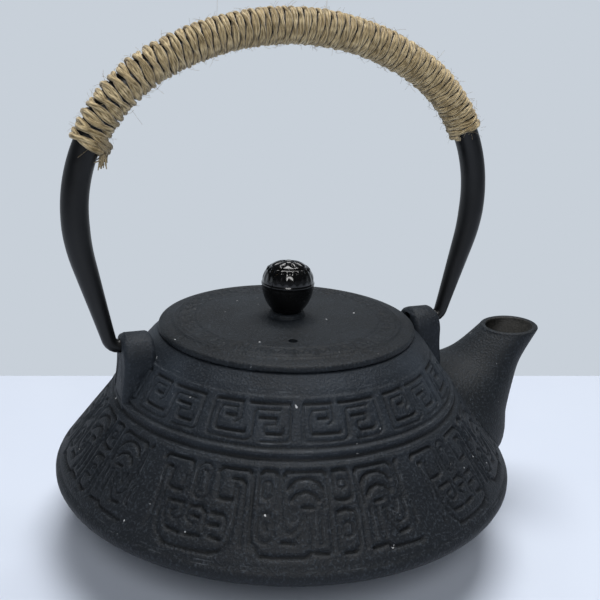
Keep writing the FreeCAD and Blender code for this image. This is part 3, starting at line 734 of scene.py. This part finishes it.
def make_spout():
    """Outside, flared a little at the root, then rounded lip and channel, as one closed shell."""
    shape = bmesh.new()
    roots = [root_share(turn) for turn in TURNS]
    rows = range(SPOUT_ROWS + 1)
    rings = [spout_row(row, roots, -ROOT_FLARE * math.exp(-row / FLARE_ROWS)) for row in rows]
    for step in range(1, LIP_STEPS):
        bend = math.pi * step / LIP_STEPS
        inset = SPOUT_WALL / 2 * (1 - math.cos(bend))
        rings.append([spout_point(1, turn, inset, LIP_HEIGHT * math.sin(bend)) for turn in TURNS])
    for row in reversed(rows):
        rings.append(spout_row(row, roots, SPOUT_WALL + ROOT_EXTRA_WALL * (1 - row / SPOUT_ROWS)))
    made = [add_ring(shape, places) for places in rings]
    bridge_rings(shape, made + [made[0]])
    bmesh.ops.recalc_face_normals(shape, faces=shape.faces)
    return mesh_from(shape, "spout_shell")


def paint_channel(mesh):
    """Give the faces that look at the spout's middle the second material."""
    middles = [Vector(through(SPOUT_STATIONS, share / 20)[:2]) for share in range(21)]
    for face in mesh.polygons:
        place = face.center / MM
        nearest = min(middles, key=lambda middle: (Vector((place.x, place.z)) - middle).length)
        inward = Vector((nearest.x, 0, nearest.y)) - place
        face.material_index = int(face.normal.dot(inward) > 0.35 * inward.length)


spout = finish_piece(make_spout(), [shaded_iron, kiln_iron], "pot", ["spout"])
paint_channel(spout.data)

# %% [markdown]
# ## The lugs
# Each lug is an upright ear with a domed top, cast on the shoulder, with a cross hole for the
# handle's pin. A ring of faces between the hole's circle and the ear's outline is extruded
# through the ear's thickness and its edges are bevelled. The foot of its outer face leans out,
# as cast ears do where they grow from the wall, and its inner face stays buried in the cone.

# %% Ears with a hole
LUG_INNER = 50.5
LUG_OUTER = 61.5
LUG_DOME = 8.5
LUG_DOME_HEIGHT = 72.7
LUG_ROOT_HEIGHT = 55.4
HINGE_HEIGHT = frame["joints"][0]["pos_m"][2] / MM
HOLE_RADIUS = 2.6
LUG_ROUNDING = 1.9
LUG_FLARE = 1.3
FLARE_HEIGHT = 12
LUG_BURIED = 3.2
TOP_DROP = 1.0


def ear_outline():
    """The ear's outline in the YZ plane: a dome on straight sides, closed below."""
    dome = [(LUG_DOME * math.cos(a), LUG_DOME_HEIGHT + LUG_DOME * math.sin(a))
            for a in np.linspace(0, math.pi, 33)]
    left = [(-LUG_DOME, height) for height in np.linspace(LUG_DOME_HEIGHT, LUG_ROOT_HEIGHT, 9)[1:]]
    floor = [(across, LUG_ROOT_HEIGHT) for across in np.linspace(-LUG_DOME, LUG_DOME, 16)[1:-1]]
    right = [(LUG_DOME, height) for height in np.linspace(LUG_ROOT_HEIGHT, LUG_DOME_HEIGHT, 10)[:-1]]
    return [Vector((0, across, up)) for across, up in dome + left + floor + right]


def far_from_hole(edge):
    """Whether an edge is on the ear's outside and not on the hole."""
    middle = (edge.verts[0].co + edge.verts[1].co) / 2
    away = math.hypot(middle.y, middle.z - HINGE_HEIGHT * MM)
    return away > 1.5 * HOLE_RADIUS * MM and middle.z > (LUG_ROOT_HEIGHT + 1) * MM


def settle_on_cone(vertex):
    """Lean the outer face out, keep the inner face in the wall and crown the top."""
    across, _, up = vertex.co / MM
    middle = (LUG_INNER + LUG_OUTER) / 2
    low = min(1, max(0, (LUG_DOME_HEIGHT - up) / FLARE_HEIGHT))
    off_middle = abs(across - middle) / (LUG_OUTER - LUG_INNER) * 2
    above_hole = min(1, max(0, up - HINGE_HEIGHT - HOLE_RADIUS))
    if across > middle:
        across += LUG_FLARE * low ** 2
    else:
        across = max(across, cone_radius(up) - LUG_BURIED)
    vertex.co.x = across * MM
    vertex.co.z = (up - TOP_DROP * above_hole * off_middle ** 4) * MM


def make_lug(name, side):
    """One ear; side is 1 for the spout's side and -1 for the other."""
    shape = bmesh.new()
    outline = ear_outline()
    turns = [math.atan2(place.z - HINGE_HEIGHT, place.y) for place in outline]
    centre = Vector((LUG_INNER, 0, HINGE_HEIGHT))
    hole = [centre + HOLE_RADIUS * Vector((0, math.cos(turn), math.sin(turn))) for turn in turns]
    outer = add_ring(shape, [place + Vector((LUG_INNER, 0, 0)) for place in outline])
    bridge_rings(shape, [outer, add_ring(shape, hole)])
    through_ear = bmesh.ops.extrude_face_region(shape, geom=shape.faces[:])["geom"]
    moved = [item for item in through_ear if isinstance(item, bmesh.types.BMVert)]
    bmesh.ops.translate(shape, verts=moved, vec=((LUG_OUTER - LUG_INNER) * MM, 0, 0))
    bmesh.ops.recalc_face_normals(shape, faces=shape.faces)
    rim = [edge for edge in shape.edges if edge.calc_face_angle(0) > 1.2 and far_from_hole(edge)]
    rounding = {"affect": "EDGES", "segments": 4, "profile": 0.5, "material": -1}
    bmesh.ops.bevel(shape, geom=rim, offset=LUG_ROUNDING * MM, **rounding)
    for vertex in shape.verts:
        settle_on_cone(vertex)
        vertex.co.x *= side
    if side < 0:
        bmesh.ops.reverse_faces(shape, faces=shape.faces)
    return mesh_from(shape, name)


for lug_name, lug_side in (("lug_right", 1), ("lug_left", -1)):
    ear = make_lug(f"{lug_name}_ear", lug_side)
    finish_piece(ear, [cast_iron], "pot", [lug_name], 50)

# %% [markdown]
# ## The bail's line
# The handle is one round bar bent in a plane. A bender works in runs and turns, so its line is
# kept the same way: go straight this far, then turn this much on that radius. The second half
# repeats the first in reverse. Everything on the handle is placed by its distance along it.

# %% Walk along the bar
PIN_TIP = 54.0
LEG_LEAN = 15.2
HALF_BEND = [
    ("run", 7.75), ("turn", 3.6, 90 - LEG_LEAN), ("run", 28.39), ("turn", 65.0, LEG_LEAN),
    ("turn", 55.0, 59.72), ("turn", 94.6, 30.28),
]
WALK_STEP = 0.25


def walk_bar():
    """Distance, place across, place up and heading along the bar's whole middle line."""
    across, up, heading = PIN_TIP, HINGE_HEIGHT, 0.0
    rows = [(0.0, across, up, heading)]
    for move in HALF_BEND + HALF_BEND[::-1]:
        length = move[1] if move[0] == "run" else move[1] * math.radians(move[2])
        bend = 0.0 if move[0] == "run" else math.radians(move[2])
        count = max(1, round(length / WALK_STEP))
        for _ in range(count):
            heading += bend / count / 2
            across += length / count * math.cos(heading)
            up += length / count * math.sin(heading)
            heading += bend / count / 2
            rows.append((rows[-1][0] + length / count, across, up, heading))
    return np.array(rows)


BAR_LINE = walk_bar()
BAR_LENGTH = BAR_LINE[-1, 0]
print(f"bar {BAR_LENGTH:.1f} mm long, top at {BAR_LINE[:, 2].max():.1f}, ends at {BAR_LINE[-1, 1]:.2f}")


def on_bar(distance):
    """Middle, way along and way outwards of the bar, at distances along it."""
    across, up, heading = (np.interp(distance, BAR_LINE[:, 0], BAR_LINE[:, place]) for place in (1, 2, 3))
    flat = np.zeros_like(across)
    middle = np.stack([across, flat, up], axis=-1)
    along = np.stack([np.cos(heading), flat, np.sin(heading)], axis=-1)
    outward = np.stack([np.sin(heading), flat, -np.cos(heading)], axis=-1)
    return middle, along, outward


def round_bar(distance, angle):
    """Middle and way along of the bar, and the way out from it at angles round it."""
    middle, along, outward = on_bar(distance)
    sideways = np.array([0.0, 1.0, 0.0])
    return middle, along, outward * np.cos(angle)[:, None] + sideways * np.sin(angle)[:, None]


# %% [markdown]
# ## Tubes
# A bar, a twine or a hair is a line with a thickness. Blender's curve makes that by itself: it
# gets the points and a radius at each, its bevel gives the round section, and the result is
# turned into a mesh so that it exports like any other piece.

# %% Turn lines into a mesh of tubes
def tubes(name, lines, round_steps):
    """A mesh of round tubes; a line is its points in mm and its radius in mm at each point."""
    curve = bpy.data.curves.new(name, "CURVE")
    curve.dimensions = "3D"
    curve.bevel_depth = MM
    curve.bevel_resolution = round_steps
    curve.use_fill_caps = True
    for points, radii in lines:
        spline = curve.splines.new("POLY")
        spline.points.add(len(points) - 1)
        flat = np.concatenate([points * MM, np.ones((len(points), 1))], axis=1)
        spline.points.foreach_set("co", flat.ravel())
        spline.points.foreach_set("radius", np.asarray(radii, dtype=float))
    holder = new_object(name, curve)
    bpy.context.view_layer.update()
    mesh = bpy.data.meshes.new_from_object(holder)
    bpy.data.objects.remove(holder)
    mesh.name = name
    return mesh


# %% The enamelled bar
PIN_RADIUS = 2.3
GRIP_RADIUS = 4.6
TAPER_START = 7.0
TAPER_END = 53.0
TIP_ROUND = 1.0


def bar_radius(distance):
    """The bar's radius: thin at the pins, full at the grip, and rounded off at its two tips."""
    from_end = np.minimum(distance, BAR_LENGTH - distance)
    growth = np.clip((from_end - TAPER_START) / (TAPER_END - TAPER_START), 0, 1)
    growth = 0.6 * growth + 0.4 * soft_step(growth)
    radius = PIN_RADIUS + (GRIP_RADIUS - PIN_RADIUS) * growth
    missing = np.clip(TIP_ROUND - from_end, 0, TIP_ROUND)
    return radius - TIP_ROUND + np.sqrt(TIP_ROUND ** 2 - missing ** 2)


bar_steps = np.concatenate([
    np.linspace(0, TIP_ROUND, 6)[:-1],
    np.linspace(TIP_ROUND, BAR_LENGTH - TIP_ROUND, 330),
    np.linspace(BAR_LENGTH - TIP_ROUND, BAR_LENGTH, 6)[1:],
])
bar_mesh = tubes("bail_bar", [(on_bar(bar_steps)[0], bar_radius(bar_steps))], 8)
finish_piece(bar_mesh, [satin_enamel], "bail", ["bail"], 50)

# %% [markdown]
# ## The jute winding
# About 66 turns, or 2.2 m, of two-ply twine are wound tightly round the top of the bar. A bump
# map on a smooth sleeve would look flat from the side, so the twine itself is made: its middle
# goes round the bar, and two plies go round its middle. It was wound looser at the left end,
# where each turn is wider, and it is pressed flatter than round against the bar.

# %% Lay the twine
WRAP_END_HEIGHTS = (147.2, 144.2)
WRAP_RADIUS = 6.35
PITCH_LEFT = 3.5
PITCH_RIGHT = 2.35
PLY_LAY = 19.0
PLY_RADIUS, PLY_ASIDE, PLY_LIFT = 0.275, 0.245, 0.1  # shares of the twine's width
TWINE_STEP = 0.62


def wrap_ends():
    """Distances along the bar at which the winding begins and ends."""
    right_height, left_height = WRAP_END_HEIGHTS
    right_end = BAR_LINE[BAR_LINE[:, 2] > right_height, 0].min()
    return right_end, BAR_LINE[BAR_LINE[:, 2] > left_height, 0].max()


def twine_route(rng):
    """Distance along the bar, angle round it and local width of every point of the twine."""
    right_end, left_end = wrap_ends()
    distance, angle, widths = [left_end - PITCH_LEFT / 2], [3.6], [PITCH_LEFT]
    turn_jitter = rng.normal(0, 0.07, 200)
    while distance[-1] > right_end + PITCH_RIGHT / 2:
        share = (left_end - distance[-1]) / (left_end - right_end)
        pitch = PITCH_LEFT + (PITCH_RIGHT - PITCH_LEFT) * soft_step(share * 2.2)
        pitch *= 1 + turn_jitter[int(angle[-1] / (2 * math.pi)) % 200]
        turn = TWINE_STEP / (WRAP_RADIUS - pitch * 0.4)
        angle.append(angle[-1] + turn)
        distance.append(distance[-1] - pitch * turn / (2 * math.pi))
        widths.append(pitch)
    return np.array(distance), np.array(angle), np.array(widths)


def lay_twine(rng):
    """The two plies of the twine, as lines with radii."""
    distance, angle, width = twine_route(rng)
    middle, along, radial = round_bar(distance, angle)
    seat = WRAP_RADIUS - 0.37 * width + 0.15 * (width - 2.5)
    seat += 0.07 * np.sin(angle * 0.37) + 0.05 * np.sin(angle * 1.9)
    centre = middle + radial * seat[:, None]
    run = np.arange(len(angle)) * TWINE_STEP
    lines = []
    for start in (0, math.pi):
        twist = 2 * math.pi * run / PLY_LAY + start
        aside = along * (np.sin(twist) * width * PLY_ASIDE)[:, None]
        lift = radial * (np.cos(twist) * width * PLY_LIFT)[:, None]
        radius = PLY_RADIUS * width * (1 + 0.05 * np.sin(run * 0.9 + start))
        lines.append((centre + aside + lift, radius))
    print(f"twine {run[-1]:.0f} mm long in {(angle[-1] - angle[0]) / 2 / math.pi:.0f} turns")
    return lines


twine_rng = np.random.default_rng(7)
twine_lines = lay_twine(twine_rng)

# %% [markdown]
# The loose end at the left is tucked under a lump of two short turns and hangs out a little,
# with its plies opened. Fine hairs stand off the whole winding. They are thin, but without them the
# outline of jute is too clean.

# %% The tucked end and the hairs
TAIL_FIBRES = 22
HAIRS = 620
HAIR_RADIUS = 0.035


def tucked_end(rng):
    """Opened fibres that hang from the first turn at the left end."""
    _, left_end = wrap_ends()
    middle, _, outward = (row[0] for row in on_bar(np.array([left_end - 1.5])))
    root = middle - outward * (GRIP_RADIUS + 0.9) + np.array([0, -2.2, 0])
    lines = []
    for _ in range(TAIL_FIBRES):
        reach = rng.uniform(3.0, 5.5)
        side = rng.normal(0, 0.5, 3)
        steps = np.linspace(0, 1, 8)[:, None]
        droop = np.array([-0.15, 0.1, -1.0]) * reach
        line = root + rng.normal(0, 0.6, 3) + droop * steps + side * steps ** 2 * 1.6
        lines.append((line, np.linspace(0.5, 0.16, 8)))
    return lines


def knot(rng):
    """A lump of twine that covers the tuck: two short turns laid across the winding."""
    _, left_end = wrap_ends()
    lines = []
    swell = np.sin(np.linspace(0, math.pi, 40))
    for shift in (-0.9, 0.9):
        distance = left_end - 3.2 - 1.6 * np.linspace(-1, 1, 40) + shift
        middle, _, radial = round_bar(distance, np.linspace(2.5, 4.3, 40))
        line = middle + radial * (WRAP_RADIUS - 0.3 + 0.9 * swell)[:, None]
        lines.append((line + rng.normal(0, 0.03, line.shape), 0.6 + 0.45 * swell))
    return lines


def hairs(rng):
    """Short fibres that stand off the winding."""
    right_end, left_end = wrap_ends()
    lines = []
    for _ in range(HAIRS):
        distance = np.array([rng.uniform(right_end, left_end)])
        angle = rng.uniform(0, 2 * math.pi)
        middle, along, outward = (row[0] for row in on_bar(distance))
        radial = outward * math.cos(angle) + np.array([0, 1.0, 0]) * math.sin(angle)
        tangent = -outward * math.sin(angle) + np.array([0, 1.0, 0]) * math.cos(angle)
        reach = rng.uniform(1.0, 3.2)
        lean = tangent * rng.normal(0, 1.0) + along * rng.normal(0, 0.7)
        steps = np.linspace(0, 1, 5)[:, None]
        root = middle + radial * (WRAP_RADIUS - 0.5)
        line = root + radial * reach * (steps - 0.45 * steps ** 2) + lean * reach * steps
        lines.append((line, np.full(5, HAIR_RADIUS)))
    return lines


finish_piece(tubes("jute_twine", twine_lines, 2), [jute], "bail", ["jute_wrap"])
loose_lines = tucked_end(twine_rng) + knot(twine_rng)
finish_piece(tubes("jute_tail", loose_lines, 2), [jute], "bail")
finish_piece(tubes("jute_hairs", hairs(twine_rng), 0), [jute], "bail")

# %% [markdown]
# ## The lid
# The lid is a thin casting with a slight dome, two faint ridge circles and a low boss under
# the knob. Between the circles the real one carries worn characters, which are replaced here
# by a plain fret. A skirt below keeps it in the mouth. One small hole lets steam out.

# %% Spin the lid
LID_STEPS = 480
LID_PROFILE = [
    (2.3, 79.2, 0, 0),
    (2.3, 84, 0.2, 0),
    (6.5, 84, 0.6, 0),
    (6.7, 82.6, 0.5, 2),
    (33.0, 81.95, 0, 0.42),
    (41.2, 81.45, 0, 0.5),
    (44.0, 81.05, 0, 1.0),
    (46.9, 80.4, 1.0, 0),
    (46.9, 78.2, 0.9, 0),
    (35.4, 78.2, 0, 0),
    (35.4, 72, 0.3, 0),
    (32.6, 72, 0.3, 0),
    (32.6, 79.2, 0, 0),
    (2.3, 79.2, 0, 0),
]
FRETS_ROUND = 30
FRET_RADIUS = 37
FRET = {BAR: [[(-2.6, 2), (2.4, 2), (2.4, 4.2)], [(-2.6, 2), (-2.6, 6), (0.6, 6), (0.6, 4)]]}
FRET_RISE = 0.45
RIDGES = ((41.3, 0.45, 0.8), (33.2, 0.3, 0.7))


def press_lid(mesh):
    """Raise the two ridge circles and the fret between them."""
    points = mesh_points(mesh)
    radius = np.hypot(points[:, 0], points[:, 1])
    top = (points[:, 2] > 80.9) & (radius > 7)
    rise = np.zeros(len(points))
    for middle, height, half_width in RIDGES:
        rise += height * bell(radius, middle, half_width)
    angle = np.arctan2(points[:, 1], points[:, 0])
    across = np.radians(across_repeat(angle, math.pi / FRETS_ROUND, FRETS_ROUND, math.pi / FRETS_ROUND))
    band = (radius > 33.6) & (radius < 40.8)
    share = groove_depth(across * FRET_RADIUS, 41.2 - radius, FRET) / FULL_DEPTH[BAR]
    worn = 0.75 + 0.25 * np.sin(angle * 3 + 0.8)
    rise += np.where(band, FRET_RISE * share * worn, 0)
    points[:, 2] += np.where(top, rise, 0)
    set_mesh_points(mesh, points)


VENT = (-7.6, -25.9)
VENT_RADIUS = 1.4


def cut_vent(piece):
    """Cut the steam hole with a small cone that is wider at the top."""
    shape = bmesh.new()
    sizes = {"radius1": VENT_RADIUS * MM, "radius2": VENT_RADIUS * 1.25 * MM, "depth": 8 * MM}
    bmesh.ops.create_cone(shape, segments=32, cap_ends=True, cap_tris=False, **sizes)
    bmesh.ops.translate(shape, verts=shape.verts, vec=(VENT[0] * MM, VENT[1] * MM, 81 * MM))
    cutter = new_object("vent_cutter", mesh_from(shape, "vent_cutter"))
    hole = piece.modifiers.new("vent", "BOOLEAN")
    hole.operation = "DIFFERENCE"
    hole.object = cutter
    bpy.context.view_layer.update()
    graph = bpy.context.evaluated_depsgraph_get()
    cut_mesh = bpy.data.meshes.new_from_object(piece.evaluated_get(graph))
    piece.modifiers.clear()
    piece.data = cut_mesh
    bpy.data.objects.remove(cutter)
    print("vent cut, lid has", len(cut_mesh.vertices), "vertices")


lid_mesh = mesh_from(lathe(profile(LID_PROFILE), LID_STEPS), "lid_disc")
lid = finish_piece(lid_mesh, [shaded_iron], "lid", ["lid"], 45)
press_lid(lid.data)
cut_vent(lid)

# %% [markdown]
# ## The knob
# A turned ball of gloss black: a narrow base, a thin bead round its widest part, shallow
# flutes on the upper side and a small carved rosette on top, inside a ring of beads.

# %% Spin and carve the knob
KNOB_STEPS = 288
KNOB_FOOT = (5.3, 84.3)
KNOB_WIDE = (9.45, 94.5)
KNOB_TOP = 103.0
CARVED_ABOVE = 100.5
PETALS = 8
BEADS = 22


def knob_profile():
    """Two arcs, a thin bead between them and a flat crown."""
    lower = [
        (KNOB_WIDE[0] * math.sin(turn), KNOB_WIDE[1] - 12.0 * math.cos(turn))
        for turn in np.linspace(math.radians(38), math.radians(88), 26)
    ]
    bead = [(9.62, 94.4), (9.7, 94.7), (9.7, 95.0), (9.6, 95.3), (9.35, 95.5)]
    upper = [
        (9.35 * math.cos(turn) ** 0.8, 95.6 + 7.4 * math.sin(turn))
        for turn in np.linspace(0, math.radians(89), 60)
    ]
    base = [(0, KNOB_FOOT[1]), KNOB_FOOT]
    return [Vector(point) for point in base + lower + bead + upper + [(0, KNOB_TOP)]]


def carve_knob(mesh):
    """Flutes on the shoulder, a ring of beads, and petals round a button."""
    points = mesh_points(mesh)
    radius = np.hypot(points[:, 0], points[:, 1])
    angle = np.arctan2(points[:, 1], points[:, 0])
    height = points[:, 2]
    outward = np.cos(angle * BEADS) * (0.1 * bell(height, 97.6, 2.2) + 0.24 * bell(height, 100.4, 0.9))
    petal = np.abs(np.sin(angle * PETALS / 2)) ** 0.6
    carved = -0.55 * (1 - petal) * bell(radius, 4.0, 2.4)
    carved -= 0.4 * bell(radius, 6.5, 0.5)
    carved -= 0.45 * bell(radius, 1.7, 0.45)
    lift = np.where(height > CARVED_ABOVE, carved, 0)
    points[:, :2] *= (1 + outward / np.maximum(radius, 1))[:, None]
    points[:, 2] += lift
    set_mesh_points(mesh, points)


knob_mesh = mesh_from(lathe(knob_profile(), KNOB_STEPS), "knob_ball")
knob = finish_piece(knob_mesh, [gloss_lacquer], "knob", ["knob"], 60)
carve_knob(knob.data)

# %% [markdown]
# ## Steel parts of the frame
# The strainer basket and the knob's stud, washer and nut already have their true shape in the
# CAD model, so they stay as they are and only get their finish.

# %% Finish the carried parts
STEEL_NODES = ["knob_stud", "knob_washer", "knob_nut", "infuser_rim", "infuser_sleeve", "infuser_floor"]
for node_name in STEEL_NODES:
    node = frame["nodes"][node_name]
    node.data.materials.clear()
    node.data.materials.append(stainless)
print("steel parts", len(STEEL_NODES))

# %% [markdown]
# ## Table and light
# The pot stands on a plain pale table. Its far edge lies a little behind the pot, and past it
# there is only the room, so the object can be seen from every side. The room is pale behind the
# pot, grey in front of it and dark overhead, which keeps the black iron black. A broad soft lamp
# above gives the lid its even sheen, and a weaker one from the front opens up the shadows.

# %% Table, room and lamps
TABLE_BEHIND = 0.1417
TABLE_SIZE = 3.0
TABLE_TURN = math.radians(4.97)
PAINT_CLOUD = 60


def make_table():
    """A pale board whose far edge is straight across the view."""
    material, tree, feed = new_material("pale painted board", {"Roughness": 0.6})
    place = add(tree, "TexCoord", {}, "Object")
    cloud = add(tree, "TexNoise", {"Vector": place, "Scale": 1 / (PAINT_CLOUD * MM), "Detail": 2})
    feed("Base Color", add(tree, "Mix", {**COLOUR, 0: cloud, 6: srgb("#ccd4e3"), 7: srgb("#d1d9e6")}, MIXED))
    shape = bmesh.new()
    bmesh.ops.create_grid(shape, x_segments=1, y_segments=1, size=TABLE_SIZE / 2)
    view = CAMERA_AIM - CAMERA_PLACE
    turn = Quaternion((0, 0, 1), math.atan2(view.y, view.x) - math.pi / 2 + TABLE_TURN)
    bmesh.ops.translate(shape, verts=shape.verts, vec=(0, TABLE_BEHIND - TABLE_SIZE / 2, 0))
    bmesh.ops.rotate(shape, verts=shape.verts, cent=(0, 0, 0), matrix=turn.to_matrix())
    mesh = mesh_from(shape, "table")
    mesh.materials.append(material)
    new_object("table", mesh)


def add_lamp(name, place, aim, size, power):
    """A square soft lamp."""
    data = bpy.data.lights.new(name, "AREA")
    data.shape = "SQUARE"
    data.size = size
    data.energy = power
    lamp = new_object(name, data)
    lamp.location = place
    lamp.rotation_euler = (Vector(aim) - Vector(place)).to_track_quat("-Z", "Y").to_euler()


make_table()
add_lamp("lamp_above", (0.15, 0.2, 1.25), (0, 0, 0.05), 0.8, 17.5)
add_lamp("lamp_front", (-0.35, -1.0, 0.9), (0, 0, 0.05), 0.45, 7.0)

world = bpy.data.worlds.new("pale room")
bpy.context.scene.world = world
world.use_nodes = True
room = world.node_tree
direction = add(room, "TexCoord", {}, "Generated")
behind = add(room, "SeparateXYZ", {"Vector": direction}, "Y")
overhead = add(room, "SeparateXYZ", {"Vector": direction}, "Z")
walls = add(room, "MapRange", {0: behind, 1: -0.2, 2: 0.35})
walls = add(room, "Mix", {**COLOUR, 0: walls, 6: srgb("#747a82"), 7: srgb("#c8d0d9")}, MIXED)
ceiling = add(room, "MapRange", {0: overhead, 1: 0.14, 2: 0.32})
walls = add(room, "Mix", {**COLOUR, 0: ceiling, 6: walls, 7: srgb("#3a3e44")}, MIXED)
room.links.new(walls, room.nodes["Background"].inputs["Color"])
bpy.context.scene.view_settings.view_transform = "Standard"
